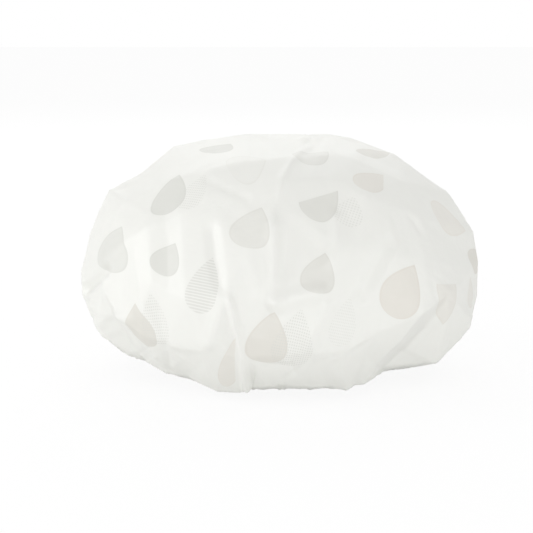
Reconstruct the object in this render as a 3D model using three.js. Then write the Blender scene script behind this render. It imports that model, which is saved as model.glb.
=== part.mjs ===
// A shower cap, puffed out and standing on its hem: one round sheet of film, gathered onto a loop of
// flat elastic. The edge of the film is turned in over the elastic, and a zigzag seam holds it there.
// Millimetres, +Z up. The origin is on the surface that the cap stands on, under the cap's middle,
// and the front of the cap faces -Y.
import * as THREE from "three";

// The puffed crown
const capWidth = 275;
const capDepth = 250;
const capHeight = 164;
const filmWall = 0.8;

// The head opening inside the hem, with the elastic relaxed
const openingWidth = 110;
const openingDepth = 100;

// The elastic, a loop whose ends lie over each other and are tacked together at the back
const elasticWidth = 7;
const elasticThickness = 0.8;
const elasticLap = 14;

// The threads of the zigzag seam and of the tack
const threadDiameter = 0.4;
const seamWidth = 3.6;
const tackLength = 9;

// What touches is kept this far apart, and corners nearer than this are one corner
const clearance = 0.3;
const sameCorner = 0.00001;

// The gathers that the elastic draws into the film
const gatherCount = 20;
const gatherDepth = 9;

// The bends between the flat panels that the film is crumpled into
const bendDepth = 8;
const bendSpacing = 20;
const spiralBends = 170;
const rimBends = 48;

// How finely the crown's slope is measured, how far outside the disc its net of panels starts, and the
// angle by which a spiral turns so that its places are spread evenly
const normalStepShare = 0.001;
const netReach = 20;
const goldenAngle = Math.PI * (3 - Math.sqrt(5));

// How finely the pieces are cut into facets
const columnsPerGather = 4;
const seamZigzags = 60;
const tackZigzags = 4;
const elasticSteps = 72;
const threadSides = 4;

// The hem's section: how far each place lies outside the opening, and how high
const elasticIn = filmWall + clearance;
const seamMiddle = elasticIn + elasticWidth / 2;
const hemReach = elasticIn + elasticWidth + clearance;
const seamChannelDepth = threadDiameter + 2 * clearance;
const seamChannelHalf = seamWidth / 2 + threadDiameter + clearance;
const seamChannelSlope = threadDiameter;
const elasticBottom = filmWall + seamChannelDepth + clearance;
const hemCeiling = elasticBottom + elasticThickness + clearance;
const lapRise = elasticThickness + clearance;
const tackRise = lapRise + threadDiameter + clearance;

// The lap of the elastic, as angles about the opening
const lapAngle = Math.PI / 2;
const meanOpeningRadius = (openingWidth + openingDepth) / 4 + seamMiddle;
const lapHalfAngle = elasticLap / 2 / meanOpeningRadius;
const lapPlateauAngle = 2.4 * lapHalfAngle;
const lapRampAngle = 1.6 * lapHalfAngle;

// Outlines of the crown from its top down to where it meets the surface beside the hem, as shares of
// half the cap's width or depth and of its height
const rightShares = [
  [0, 1], [0.165, 1], [0.325, 0.985], [0.49, 0.945], [0.65, 0.875], [0.8, 0.775], [0.905, 0.67],
  [0.97, 0.55], [1, 0.43], [0.985, 0.325], [0.945, 0.235], [0.85, 0.18], [0.7, 0.125],
];
const leftShares = [
  [0, 1], [0.175, 1], [0.355, 0.985], [0.52, 0.95], [0.675, 0.875], [0.82, 0.775], [0.915, 0.69],
  [0.97, 0.58], [1, 0.46], [1, 0.36], [0.96, 0.25], [0.87, 0.17], [0.72, 0.11],
];
const frontShares = [
  [0, 1], [0.185, 1], [0.365, 0.985], [0.54, 0.935], [0.7, 0.845], [0.835, 0.725], [0.935, 0.585],
  [0.99, 0.45], [1.01, 0.33], [1.005, 0.215], [0.97, 0.125], [0.87, 0.085], [0.68, 0.055],
];
const backShares = [
  [0, 1], [0.17, 0.995], [0.34, 0.975], [0.5, 0.93], [0.66, 0.85], [0.8, 0.75], [0.91, 0.62],
  [0.98, 0.48], [1, 0.35], [0.985, 0.23], [0.93, 0.13], [0.85, 0.06], [0.76, 0.025],
];

// Which points of those outlines the rings of the crown pass through, from its top to the hem
const crownRingPlaces = [0, 1, 2, 3, 4, 5, 6, 7, 8, 9, 10, 11, 12];
const gatherStartShare = 0.34;
const gatherDeepestShare = 0.84;

// The bends of the front, as shares of a turn about the cap, of the way down and of the bend depth that
// they stand out. Those of the sides and back lie on a spiral, and stand out by scattered amounts.
const frontBendShares = [
  [0.983, 0.582, 0.04], [0.977, 0.681, 0.07], [0.953, 0.759, 0.49], [0.934, 0.78, 0.53],
  [0.895, 0.801, 1.02], [0.93, 0.965, -0.04], [0.825, 0.851, 0.6], [0.816, 0.851, 0.53],
  [0.806, 0.851, 0.8], [0.793, 0.851, 0.38], [0.79, 0.965, 0.29], [0.75, 0.965, 0.09],
  [0.714, 0.965, 0.25], [0.705, 0.965, 0.63], [0.684, 0.965, 0.74], [0.693, 0.858, 0.82],
  [0.637, 0.929, -0.01], [0.64, 0.851, 0.38], [0.613, 0.844, 0.07], [0.588, 0.837, 0.28],
  [0.553, 0.801, 0.29], [0.545, 0.78, 0.24], [0.52, 0.702, 0.23], [0.511, 0.631, 0.17],
  [0.502, 0.582, -0.01], [0.503, 0.532, 0.01], [0.506, 0.468, 0.04], [0.493, 0.404, 0.57],
  [0.514, 0.326, -0.04], [0.494, 0.284, -0.01], [0.478, 0.241, 0.32], [0.46, 0.177, 0.08],
  [0.393, 0.099, 0.16], [0.25, 0.092, 0.1], [0.076, 0.128, 0.25], [0.057, 0.17, 0.27], [0.026, 0.27, 0.24],
  [0.015, 0.348, 0.08], [0.007, 0.404, 0.39], [0.004, 0.454, 0.22], [0.997, 0.511, 0.37],
  [0.695, 0.39, -0.03], [0.708, 0.525, 0.56], [0.696, 0.652, 0.05], [0.722, 0.695, -0.41],
  [0.724, 0.447, 0.26], [0.741, 0.39, 0.19], [0.743, 0.539, -0.28], [0.752, 0.44, -0.42],
  [0.757, 0.362, -0.06], [0.778, 0.532, 0.09], [0.768, 0.631, -0.23], [0.762, 0.574, -0.25],
  [0.784, 0.553, 0.07], [0.844, 0.461, 0.05], [0.814, 0.525, -0.03], [0.804, 0.44, 0.04],
  [0.601, 0.44, -0.05], [0.643, 0.553, -0.21], [0.609, 0.674, -0.12], [0.637, 0.61, 0.05],
  [0.579, 0.553, 0.16], [0.584, 0.624, 0], [0.655, 0.702, -0.28], [0.679, 0.56, 0.56],
  [0.658, 0.404, 0.09], [0.649, 0.262, 0], [0.709, 0.326, 0], [0.59, 0.326, -0.05], [0.665, 0.333, 0.03],
  [0.773, 0.191, -0.17], [0.75, 0.291, 0.23], [0.814, 0.277, 0.01], [0.844, 0.34, 0.28],
  [0.897, 0.404, -0.16], [0.927, 0.326, -0.19], [0.875, 0.206, -0.05], [0.873, 0.504, -0.04],
  [0.861, 0.617, 0.41], [0.827, 0.645, -0.46], [0.798, 0.681, -0.29], [0.897, 0.596, 0.15],
  [0.713, 0.596, 0.07], [0.736, 0.645, -0.25], [0.755, 0.688, -0.41], [0.684, 0.695, -0.19],
  [0.631, 0.702, -0.04], [0.694, 0.22, -0.07], [0.556, 0.411, -0.01],
];
const spiralEndShare = 0.93;
const spiralScatterShare = 0.317;
const spiralLowShare = -0.35;
const spiralHighShare = 0.4;
const rimReachShares = [1.002, 1.04];

// How much of the bends the film takes, and where that fades out above the hem. The bends of the front
// are those seen from this far above the ground.
const flatShare = 0.8;
const fadeShares = [0.93, 0.985];
const awayShare = 0.1;
const frontTilt = THREE.MathUtils.degToRad(10);

const smooth = (from, to, x) => THREE.MathUtils.smoothstep(x, from, to);
const fraction = (x) => x - Math.floor(x);

// An outline as a curve of points: reach from the middle, and height, along the middle of the film.
function outlineCurve(shares, halfExtent, halfOpening) {
  const reach = halfExtent - filmWall / 2;
  const rise = capHeight - filmWall;
  const points = shares.map(([out, up]) => new THREE.Vector2(out * reach, up * rise + filmWall / 2));
  points.push(new THREE.Vector2(halfOpening + hemReach + filmWall, filmWall / 2));
  return new THREE.SplineCurve(points);
}

const outlines = {
  right: outlineCurve(rightShares, capWidth / 2, openingWidth / 2),
  left: outlineCurve(leftShares, capWidth / 2, openingWidth / 2),
  front: outlineCurve(frontShares, capDepth / 2, openingDepth / 2),
  back: outlineCurve(backShares, capDepth / 2, openingDepth / 2),
};

// How far the hem's ceiling rises at an angle, to pass over the lapped ends of the elastic: 0 to 1.
function lapCover(angle) {
  const away = Math.abs(Math.atan2(Math.sin(angle - lapAngle), Math.cos(angle - lapAngle)));
  return 1 - smooth(lapPlateauAngle, lapPlateauAngle + lapRampAngle, away);
}

// Gathers are unevenly spaced: the angle of a gather, or of a place part of the way to the next.
function gatherAngle(place) {
  const turn = (2 * Math.PI * place) / gatherCount;
  return turn + 0.1 * Math.sin(2 * turn) * (1 + 0.6 * Math.cos(turn + 1)) + 0.04 * Math.sin(4 * turn);
}

// How deep the film is drawn in, at a place between gathers and a share of the way down the crown.
// Each gather is a round lobe with a sharp valley, and has a depth and a height of its own.
function gatherDraw(place, down) {
  const own = fraction(Math.floor(place) * 0.618);
  const start = gatherStartShare + 0.22 * fraction(own * 7.3);
  const valley = 1 - Math.abs(Math.cos(Math.PI * place));
  const grown = smooth(start, gatherDeepestShare, down) * (1 - smooth(gatherDeepestShare, 1, down));
  return gatherDepth * (0.45 + 0.55 * own) * valley * grown;
}

// A point along the middle of the film's crown, at an angle and a share of the way down.
function crownPoint(angle, down) {
  const across = Math.cos(angle);
  const along = Math.sin(angle);
  const atSide = (across >= 0 ? outlines.right : outlines.left).getPoint(down);
  const atEnd = (along >= 0 ? outlines.back : outlines.front).getPoint(down);
  const height = across * across * atSide.y + along * along * atEnd.y;
  return new THREE.Vector3(atSide.x * across, atEnd.x * along, height);
}

// The crown's outward normal, from points a small step to each side.
function crownNormal(angle, down) {
  const step = normalStepShare;
  const downhill = crownPoint(angle, down + step).sub(crownPoint(angle, down - step));
  const sideways = crownPoint(angle + step, down).sub(crownPoint(angle - step, down));
  return downhill.cross(sideways).normalize();
}

// Where a place of the crown lies on a flat disc.
const discSpot = (angle, down) => new THREE.Vector3(down * Math.cos(angle), down * Math.sin(angle), 0);

// A bend: its spot on the disc, and its place in space, which stands out from the crown.
function bendAt(angle, down, outShare) {
  const place = crownPoint(angle, down).addScaledVector(crownNormal(angle, down), outShare * bendDepth);
  return { spot: discSpot(angle, down), place };
}

// All bends: those of the front, those of a spiral that turns by the golden angle, where it faces away
// from the front and no other bend is near, and points of the hem.
function allBends() {
  const bends = frontBendShares.map(([turn, down, out]) => bendAt(2 * Math.PI * turn, down, out));
  const frontward = new THREE.Vector3(0, Math.cos(frontTilt), -Math.sin(frontTilt));
  for (let i = 0; i < spiralBends; i++) {
    const down = spiralEndShare * Math.sqrt((i + 0.5) / spiralBends);
    const angle = i * goldenAngle;
    const scatter = fraction(i * i * spiralScatterShare);
    const bend = bendAt(angle, down, spiralLowShare + (spiralHighShare - spiralLowShare) * scatter);
    const here = crownPoint(angle, down);
    const faces = crownNormal(angle, down).dot(frontward);
    const near = bends.some(({ place }) => place.distanceTo(here) < bendSpacing);
    if (faces > awayShare && !near) bends.push(bend);
  }
  for (let i = 0; i < rimBends; i++) {
    const angle = (2 * Math.PI * i) / rimBends;
    bends.push({ spot: discSpot(angle, rimReachShares[i % 2]), place: crownPoint(angle, 1) });
  }
  return bends;
}

// Whether a spot lies inside the circle through three others.
function insideCircle(spot, [a, b, c]) {
  const [p, q, r] = [a, b, c].map((corner) => corner.clone().sub(spot));
  const lift = (v) => v.x * v.x + v.y * v.y;
  const area = (u, v) => u.x * v.y - u.y * v.x;
  return lift(p) * area(q, r) + lift(q) * area(r, p) + lift(r) * area(p, q) > 0;
}

// The net of triangles over the bends: each spot that is added replaces the triangles whose circles it
// lies in. It starts from one large triangle, whose corners come out again at the end.
function panelNet(bends) {
  const large = [-1, 1, 0].map((x) => new THREE.Vector3(x, x === 0 ? 1 : -1, 0).multiplyScalar(netReach));
  const spots = [...bends.map(({ spot }) => spot), ...large];
  let net = [[bends.length, bends.length + 1, bends.length + 2]];
  for (let added = 0; added < bends.length; added++) {
    const isHit = (triangle) => insideCircle(spots[added], triangle.map((corner) => spots[corner]));
    const edges = net.filter(isHit).flatMap(([a, b, c]) => [[a, b], [b, c], [c, a]]);
    const rim = edges.filter(([a, b]) => !edges.some(([c, d]) => a === d && b === c));
    net = net.filter((triangle) => !isHit(triangle)).concat(rim.map(([a, b]) => [a, b, added]));
  }
  return net.filter((triangle) => triangle.every((corner) => corner < bends.length));
}

const bends = allBends();
const panels = panelNet(bends).map((triangle) => triangle.map((corner) => bends[corner]));

// The place that a point of the crown has once the film is crumpled into flat panels.
function panelPoint(angle, down) {
  const point = crownPoint(angle, down);
  const spot = discSpot(angle, down);
  const panel = panels.find(([a, b, c]) => THREE.Triangle.containsPoint(spot, a.spot, b.spot, c.spot));
  if (!panel) return point;
  const spots = panel.map((corner) => corner.spot);
  const shares = THREE.Triangle.getBarycoord(spot, ...spots, new THREE.Vector3()).toArray();
  const flat = new THREE.Vector3();
  panel.forEach(({ place }, i) => flat.addScaledVector(place, shares[i]));
  return point.lerp(flat, flatShare * (1 - smooth(...fadeShares, down)));
}

// One upright section through the film, as reaches along X and Y and a height for each ring.
function filmMiddle(place) {
  const angle = gatherAngle(place);
  const across = Math.cos(angle);
  const along = Math.sin(angle);
  const crown = crownRingPlaces.map((ringPlace) => {
    const down = ringPlace / rightShares.length;
    const { x, y, z } = panelPoint(angle, down);
    return { x, y, z, down };
  });
  const ceiling = hemCeiling + filmWall / 2 + tackRise * lapCover(angle);
  const floor = filmWall / 2;
  const hem = [
    [hemReach, floor],
    [seamMiddle + seamChannelHalf + seamChannelSlope, floor],
    [seamMiddle + seamChannelHalf, floor + seamChannelDepth],
    [seamMiddle - seamChannelHalf, floor + seamChannelDepth],
    [seamMiddle - seamChannelHalf - seamChannelSlope, floor],
    [filmWall / 2, floor],
    [filmWall / 2, ceiling],
    [hemReach - clearance, ceiling],
  ].map(([out, up]) => ({
    x: (openingWidth / 2 + out) * across,
    y: (openingDepth / 2 + out) * along,
    z: up,
    down: 1,
  }));
  const outward = new THREE.Vector2(across, along);
  return { points: [...crown, ...hem], outward, place };
}

// Mitred normals of a section, as reach and height, which point out of the crown and down from the hem.
function sectionNormals(points) {
  const flat = points.map((p) => new THREE.Vector2(Math.hypot(p.x, p.y), p.z));
  const outOf = (a, b) => {
    const step = b.clone().sub(a).normalize();
    return new THREE.Vector2(-step.y, step.x);
  };
  return flat.map((point, i) => {
    if (i === 0) return new THREE.Vector2(0, 1);
    const before = outOf(flat[i - 1], point);
    if (i === flat.length - 1) return before;
    const middle = before.clone().add(outOf(point, flat[i + 1])).normalize();
    return middle.divideScalar(Math.max(0.5, middle.dot(before)));
  });
}

// The points of a section, each moved along its normal by the distance that is given for it.
function moveAlong(points, normals, outward, distanceAt) {
  return points.map((p, i) => {
    const reach = Math.hypot(p.x, p.y);
    const out = reach > filmWall ? new THREE.Vector2(p.x / reach, p.y / reach) : outward;
    const distance = distanceAt(p);
    const shift = normals[i].x * distance;
    return { x: p.x + out.x * shift, y: p.y + out.y * shift, z: p.z + normals[i].y * distance, down: p.down };
  });
}

// A closed surface through rings of points. Rings that close on the first make a loop, and others get
// flat ends. Corners that fall together, as at the crown's top, leave no facet.
function skin(rings, loops) {
  const positions = [];
  const facet = (a, b, c) => {
    const same = (p, q) => Math.hypot(p.x - q.x, p.y - q.y, p.z - q.z) < sameCorner;
    if (same(a, b) || same(b, c) || same(c, a)) return;
    for (const p of [a, b, c]) positions.push(p.x, p.y, p.z);
  };
  const last = loops ? rings.length : rings.length - 1;
  for (let j = 0; j < last; j++) {
    const here = rings[j];
    const next = rings[(j + 1) % rings.length];
    for (let i = 0; i < here.length; i++) {
      const k = (i + 1) % here.length;
      facet(here[i], here[k], next[k]);
      facet(here[i], next[k], next[i]);
    }
  }
  if (!loops) {
    const first = rings[0];
    const final = rings[rings.length - 1];
    for (let i = 1; i < first.length - 1; i++) {
      facet(first[0], first[i + 1], first[i]);
      facet(final[0], final[i], final[i + 1]);
    }
  }
  const geometry = new THREE.BufferGeometry();
  geometry.setAttribute("position", new THREE.Float32BufferAttribute(positions, 3));
  geometry.computeVertexNormals();
  return geometry;
}

// The film: sections all round, each the outer face and then the inner face of the film.
function filmGeometry() {
  const sections = [];
  const columns = gatherCount * columnsPerGather;
  for (let column = 0; column < columns; column++) {
    const place = column / columnsPerGather;
    const { points, outward } = filmMiddle(place);
    const draw = (p) => -gatherDraw(place, p.down);
    const drawn = moveAlong(points, sectionNormals(points), outward, draw);
    const normals = sectionNormals(drawn);
    const outer = moveAlong(drawn, normals, outward, () => filmWall / 2);
    const inner = moveAlong(drawn, normals, outward, () => -filmWall / 2);
    sections.push([...outer, ...inner.reverse()]);
  }
  return skin(sections, true);
}

// A point of the hem at an angle, a distance outside the opening and a height.
function hemPoint(angle, out, up) {
  const x = (openingWidth / 2 + out) * Math.cos(angle);
  const y = (openingDepth / 2 + out) * Math.sin(angle);
  return new THREE.Vector3(x, y, up);
}

// The elastic: a flat band once round, whose last stretch climbs onto its first.
function elasticGeometry() {
  const start = lapAngle - lapHalfAngle;
  const turn = 2 * Math.PI + 2 * lapHalfAngle;
  const rings = [];
  for (let step = 0; step <= elasticSteps; step++) {
    const gone = (turn * step) / elasticSteps;
    const climb = smooth(2 * Math.PI - lapRampAngle, 2 * Math.PI - lapRampAngle / 4, gone);
    const bottom = elasticBottom + lapRise * climb;
    const top = bottom + elasticThickness;
    const corners = [
      [elasticIn, bottom],
      [elasticIn, top],
      [elasticIn + elasticWidth, top],
      [elasticIn + elasticWidth, bottom],
    ];
    rings.push(corners.map(([out, up]) => hemPoint(start + gone, out, up)));
  }
  return skin(rings, false);
}

// A thread through points, with its section mitred at each turn of the zigzag.
function threadGeometry(points, loops) {
  const up = new THREE.Vector3(0, 0, 1);
  const last = points.length - 1;
  const at = (i) => points[loops ? (i + points.length) % points.length : THREE.MathUtils.clamp(i, 0, last)];
  const rings = points.map((point, i) => {
    const before = point.clone().sub(at(i - 1)).normalize();
    const after = at(i + 1).clone().sub(point).normalize();
    const run = before.clone().add(after).normalize();
    const mitre = Math.min(2, 1 / Math.max(0.4, run.dot(after.lengthSq() > 0 ? after : before)));
    const aside = new THREE.Vector3().crossVectors(up, run).normalize();
    const above = new THREE.Vector3().crossVectors(run, aside);
    return Array.from({ length: threadSides }, (_, side) => {
      const turn = (2 * Math.PI * (side + 0.5)) / threadSides;
      return point
        .clone()
        .addScaledVector(aside, (Math.cos(turn) * threadDiameter * mitre) / 2)
        .addScaledVector(above, (Math.sin(turn) * threadDiameter) / 2);
    });
  });
  return skin(rings, loops);
}

// One zigzag all round the seam, at the height that the given function says for an angle.
function seamGeometry(heightAt) {
  const points = [];
  for (let i = 0; i < 2 * seamZigzags; i++) {
    const angle = (Math.PI * i) / seamZigzags;
    const out = seamMiddle + (i % 2 ? seamWidth : -seamWidth) / 2;
    points.push(hemPoint(angle, out, heightAt(angle)));
  }
  return threadGeometry(points, true);
}

// The tack: a short zigzag across the lapped ends of the elastic.
function tackGeometry() {
  const height = elasticBottom + lapRise + elasticThickness + clearance + threadDiameter / 2;
  const points = [];
  for (let i = 0; i <= 2 * tackZigzags; i++) {
    const along = (i / (2 * tackZigzags) - 0.5) * tackLength;
    const out = seamMiddle + (i % 2 ? seamWidth : -seamWidth) / 2;
    points.push(hemPoint(lapAngle + along / meanOpeningRadius, out, height));
  }
  return threadGeometry(points, false);
}

function piece(name, geometry, color, roughness) {
  const material = new THREE.MeshStandardMaterial({ color, roughness, metalness: 0 });
  const mesh = new THREE.Mesh(geometry, material);
  mesh.name = name;
  return mesh;
}

const underSeamHeight = () => clearance + threadDiameter / 2;
const overSeamHeight = (angle) => {
  const ceiling = hemCeiling + filmWall + tackRise * lapCover(angle);
  return ceiling + clearance + threadDiameter / 2;
};

const cap = new THREE.Group();
cap.add(
  piece("film_cap", filmGeometry(), 0xf1f1ec, 0.4),
  piece("elastic_band", elasticGeometry(), 0xf4f3ef, 0.9),
  piece("elastic_tack_thread", tackGeometry(), 0xf7f7f4, 0.7),
  piece("hem_needle_thread", seamGeometry(underSeamHeight), 0xf7f7f4, 0.7),
  piece("hem_bobbin_thread", seamGeometry(overSeamHeight), 0xf7f7f4, 0.7),
);

export default cap;
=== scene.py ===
import math

import bpy
import numpy as np
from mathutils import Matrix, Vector
from mathutils.geometry import delaunay_2d_cdt


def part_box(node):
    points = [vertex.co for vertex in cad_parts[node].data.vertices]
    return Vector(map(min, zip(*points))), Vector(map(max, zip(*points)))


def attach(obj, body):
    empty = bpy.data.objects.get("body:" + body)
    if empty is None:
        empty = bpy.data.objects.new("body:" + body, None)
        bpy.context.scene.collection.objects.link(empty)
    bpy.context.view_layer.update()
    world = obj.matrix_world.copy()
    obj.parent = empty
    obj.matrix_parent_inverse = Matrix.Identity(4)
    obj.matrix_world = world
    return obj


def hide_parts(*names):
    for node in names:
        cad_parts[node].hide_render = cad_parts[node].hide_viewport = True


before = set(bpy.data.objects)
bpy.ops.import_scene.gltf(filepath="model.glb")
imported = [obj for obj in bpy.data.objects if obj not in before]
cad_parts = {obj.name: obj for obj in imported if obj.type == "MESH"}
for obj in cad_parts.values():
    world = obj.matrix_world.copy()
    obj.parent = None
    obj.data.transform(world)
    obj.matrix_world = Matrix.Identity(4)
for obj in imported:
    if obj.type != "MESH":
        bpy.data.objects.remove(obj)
bpy.context.view_layer.update()
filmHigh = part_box("film_cap")[1]
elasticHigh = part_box("elastic_band")[1]
print("frame loaded:", len(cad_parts), "nodes")

mmPerMetre = 1000
tiny = 1e-6
goldenAngle = math.pi * (3 - math.sqrt(5))  # places at steps of this turn, or share, are spread evenly
goldenShare = 0.618

# How the photograph was taken: groundAt is the pixel where the ground lies under the cap's middle.
photo = dict(
    pixels=533,
    groundAt=(281.0, 369.0),
    metresPerPixel=0.0007035,
    elevation=10.0,
    distance=1.3,
    sensor=36.0,
    clipEnd=20.0,
)


# Right, forward and up of a camera that looks along +Y and down by the elevation.
def cameraAxes():
    tilt = math.radians(photo["elevation"])
    right = np.array([1.0, 0.0, 0.0])
    forward = np.array([0.0, math.cos(tilt), -math.sin(tilt)])
    up = np.array([0.0, math.sin(tilt), math.cos(tilt)])
    return right, forward, up


# The point that the camera looks at, so that the origin falls on groundAt.
def cameraTarget():
    right, _, up = cameraAxes()
    acrossPixels = photo["groundAt"][0] - photo["pixels"] / 2
    downPixels = photo["groundAt"][1] - photo["pixels"] / 2
    return (up * downPixels - right * acrossPixels) * photo["metresPerPixel"]


def cameraPlace():
    return cameraTarget() - cameraAxes()[1] * photo["distance"]


# How squarely places of a surface face the camera, from its normals and the ways of sight to it: 1 is
# straight on, 0 is edge on, and less than 0 faces away.
def facingCamera(points, normals):
    sight = points - cameraPlace()
    return -(normals * sight).sum(-1) / np.linalg.norm(sight, axis=-1)


# Pixels of points, as column and row: offset across the view over depth, times the focal length.
def toPixels(points):
    right, forward, up = cameraAxes()
    away = points - cameraPlace()
    scale = photo["distance"] / photo["metresPerPixel"] / (away @ forward)
    column = photo["pixels"] / 2 + (away @ right) * scale
    row = photo["pixels"] / 2 - (away @ up) * scale
    return np.stack([column, row], axis=-1)


# The move in space that takes points across the picture by pixels, at the depths that they have.
def acrossView(points, offset):
    right, forward, up = cameraAxes()
    depth = (points - cameraPlace()) @ forward / photo["distance"]
    offset = offset * depth[..., None] * photo["metresPerPixel"]
    return right * offset[..., :1] - up * offset[..., 1:]


# Puts a camera or a lamp at a place, where it looks along a way.
def addLooking(data, place, way):
    made = bpy.data.objects.new(data.name, data)
    bpy.context.collection.objects.link(made)
    made.location = place
    made.rotation_mode = "QUATERNION"
    made.rotation_quaternion = Vector(way).to_track_quat("-Z", "Y")
    return made


def addCamera():
    data = bpy.data.cameras.new("photo_view")
    data.sensor_width = photo["sensor"]
    data.lens = photo["sensor"] * photo["distance"] / (photo["pixels"] * photo["metresPerPixel"])
    data.clip_end = photo["clipEnd"]
    bpy.context.scene.camera = addLooking(data, cameraPlace(), cameraAxes()[1])


elasticReach = 0.0081  # how far outside the opening the elastic ends

# The film's crown: outlines from its top down to the hem, as shares of its half width or half depth and
# of its height, and the gathers and fine pleats that the elastic draws into it. Where those start, are
# deepest and fade is a share of the way down, and in front, where the film falls smoothly, that is low.
crown = dict(
    halfWidth=filmHigh.x,
    halfDepth=filmHigh.y,
    height=filmHigh.z,
    openingHalfWidth=elasticHigh.x - elasticReach,
    openingHalfDepth=elasticHigh.y - elasticReach,
    hemReach=0.0092,
    hemLow=0.0004,
    hemPuff=0.007,
    puffStart=0.86,
    puffHighest=0.95,
    puffFades=0.97,
    rightShares=[
        (0, 1), (0.165, 1), (0.325, 0.985), (0.49, 0.945), (0.65, 0.875), (0.8, 0.775), (0.905, 0.67),
        (0.97, 0.55), (1, 0.43), (0.985, 0.325), (0.95, 0.23), (0.87, 0.15), (0.75, 0.08),
    ],
    leftShares=[
        (0, 1), (0.175, 1), (0.355, 0.985), (0.52, 0.95), (0.675, 0.875), (0.82, 0.775), (0.915, 0.69),
        (0.97, 0.58), (1, 0.46), (1, 0.36), (0.965, 0.24), (0.89, 0.14), (0.77, 0.07),
    ],
    frontShares=[
        (0, 1), (0.185, 1), (0.365, 0.985), (0.54, 0.935), (0.7, 0.845), (0.835, 0.725), (0.935, 0.585),
        (0.99, 0.45), (1.01, 0.33), (1.0, 0.2), (0.965, 0.11), (0.9, 0.045), (0.76, 0.02),
    ],
    backShares=[
        (0, 1), (0.17, 0.995), (0.34, 0.975), (0.5, 0.93), (0.66, 0.85), (0.8, 0.75), (0.91, 0.62),
        (0.98, 0.48), (1, 0.35), (0.985, 0.23), (0.93, 0.13), (0.85, 0.06), (0.76, 0.025),
    ],
    gatherCount=20,
    gatherDepth=0.0125,
    gatherLeastShare=0.45,
    gatherUneven=(0.1, 0.6, 0.04),
    gatherTable=4000,
    gatherStart=0.52,
    gatherStartVaries=0.22,
    gatherShuffle=7.3,
    gatherDeepest=0.93,
    frontFrom=0.1,
    frontFull=0.7,
    frontStart=0.95,
    frontDeepest=0.975,
    frontPleatLoss=0.85,
    pleatCount=136,
    pleatDepth=0.0112,
    pleatStart=0.72,
    pleatDeepest=0.92,
    pleatFades=0.965,
    pleatShareAtHem=0.08,
    pleatDrift=[(0.5, 3, 1), (0.9, 7, 2.2), (0.5, 13, 0)],
    pleatDriftTurn=2.6,
    pleatSize=0.7,
    pleatSizeVaries=0.15,
    pleatSizeTurns=(5, 0.7, 11, 61),
    gridSide=282,
    softenTimes=6,
)


# 0 below the first edge, 1 above the second, and 3t^2 - 2t^3 between.
def smoothStep(low, high, value):
    share = np.clip((value - low) / (high - low), 0, 1)
    return share * share * (3 - 2 * share)


# A Catmull-Rom curve through points, at shares of its length counted in points.
def splineAt(points, share):
    points = np.asarray(points, float)
    place = np.clip(share, 0, 1) * (len(points) - 1)
    first = np.minimum(place.astype(int), len(points) - 2)
    t = (place - first)[..., None]
    p0 = points[np.maximum(first - 1, 0)]
    p1 = points[first]
    p2 = points[first + 1]
    p3 = points[np.minimum(first + 2, len(points) - 1)]
    bend = (p2 - p0) / 2
    bendNext = (p3 - p1) / 2
    cubic = (2 * p1 - 2 * p2 + bend + bendNext) * t**3
    square = (-3 * p1 + 3 * p2 - 2 * bend - bendNext) * t**2
    return cubic + square + bend * t + p1


# Reach and height in metres down one outline of the crown, which ends beside the hem.
def outline(side, extent, down):
    points = np.array(crown[side + "Shares"]) * (crown["half" + extent], crown["height"])
    return splineAt([*points, (crown["openingHalf" + extent] + crown["hemReach"], crown["hemLow"])], down)


# The smooth crown: X from the side outlines, Y from the end outlines, and a height that turns from
# one to the other with the square of the cosine.
def smoothCrown(angle, down):
    across, along = np.cos(angle), np.sin(angle)
    right, left = (outline(side, "Width", down) for side in ("right", "left"))
    back, front = (outline(side, "Depth", down) for side in ("back", "front"))
    side = np.where((across >= 0)[..., None], right, left)
    end = np.where((along >= 0)[..., None], back, front)
    height = across**2 * side[..., 1] + along**2 * end[..., 1]
    return np.stack([side[..., 0] * across, end[..., 0] * along, height], axis=-1)


# A square grid laid on a disc: rings of the square become circles. Gives the angle round the disc and
# how far down the crown each place is, from 0 at the top to 1 at the hem.
def discGrid(side):
    steps = np.linspace(-1, 1, side + 1)
    a, b = np.meshgrid(steps, steps, indexing="ij")
    wide = np.abs(a) > np.abs(b)
    radius = np.where(wide, a, b)
    turn = math.pi / 4 * np.where(wide, b, a) / np.where(radius == 0, 1, radius)
    turn = np.where(wide, turn, math.pi / 2 - turn)
    x, y = radius * np.cos(turn), radius * np.sin(turn)
    return np.arctan2(y, x), np.abs(radius)


# Unit normals of a grid of points: the cross product of its steps both ways, turned to point out.
def gridNormals(points):
    stepA = np.gradient(points, axis=0)
    stepB = np.gradient(points, axis=1)
    normals = np.cross(stepA, stepB)
    normals /= np.maximum(np.linalg.norm(normals, axis=-1, keepdims=True), tiny**2)
    middle = normals.shape[0] // 2
    return normals * np.sign(normals[middle, middle, 2])


# A light blur of a grid with the weights 1, 2, 1 both ways, which leaves its rim in place.
def blurred(grid, times):
    for _ in range(times):
        middle = (grid[:-2] + 2 * grid[1:-1] + grid[2:]) / 4
        grid = np.concatenate([grid[:1], middle, grid[-1:]], axis=0)
        middle = (grid[:, :-2] + 2 * grid[:, 1:-1] + grid[:, 2:]) / 4
        grid = np.concatenate([grid[:, :1], middle, grid[:, -1:]], axis=1)
    return grid


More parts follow.
